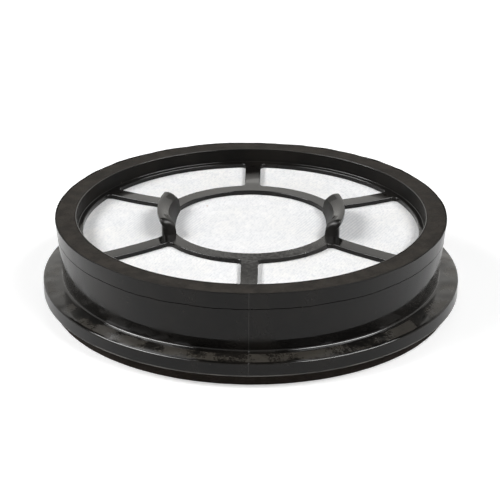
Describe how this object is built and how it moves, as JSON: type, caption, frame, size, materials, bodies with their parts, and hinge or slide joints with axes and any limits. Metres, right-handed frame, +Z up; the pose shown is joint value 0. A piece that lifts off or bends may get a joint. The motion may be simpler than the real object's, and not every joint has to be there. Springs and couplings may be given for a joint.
{
  "type": "vacuum cleaner filter",
  "caption": "Round vacuum cleaner filter with a black flanged frame, spoked grid, finger tabs, white fleece over a pleated pack, and a sealing gasket.",
  "frame": {"origin": "centre of the gasket's lower face, on the resting plane", "axes": "+Z up along the filter's axis to the rim, +X through the right finger tab, -Y towards the viewer of the picture"},
  "size_m": [0.15, 0.15, 0.034],
  "materials": {
    "frame_plastic": "semi-gloss injection moulded, near black",
    "band_rubber": "matte, fine texture, brownish black",
    "gasket_foam": "matte foam rubber, dark brown to black",
    "fleece_felt": "white bonded polyester fleece with fine fibres",
    "filter_paper": "off-white pleated glass fibre paper",
    "potting_resin": "cast cream resin",
    "bead_glue": "hot melt glue"
  },
  "bodies": {
    "root": {"frame": "frame_plastic", "rim_band": "band_rubber", "gasket": "gasket_foam", "fleece": "fleece_felt", "pleat_pack": "filter_paper", "potting": "potting_resin", "spacer_beads": "bead_glue"}
  },
  "joints": []
}
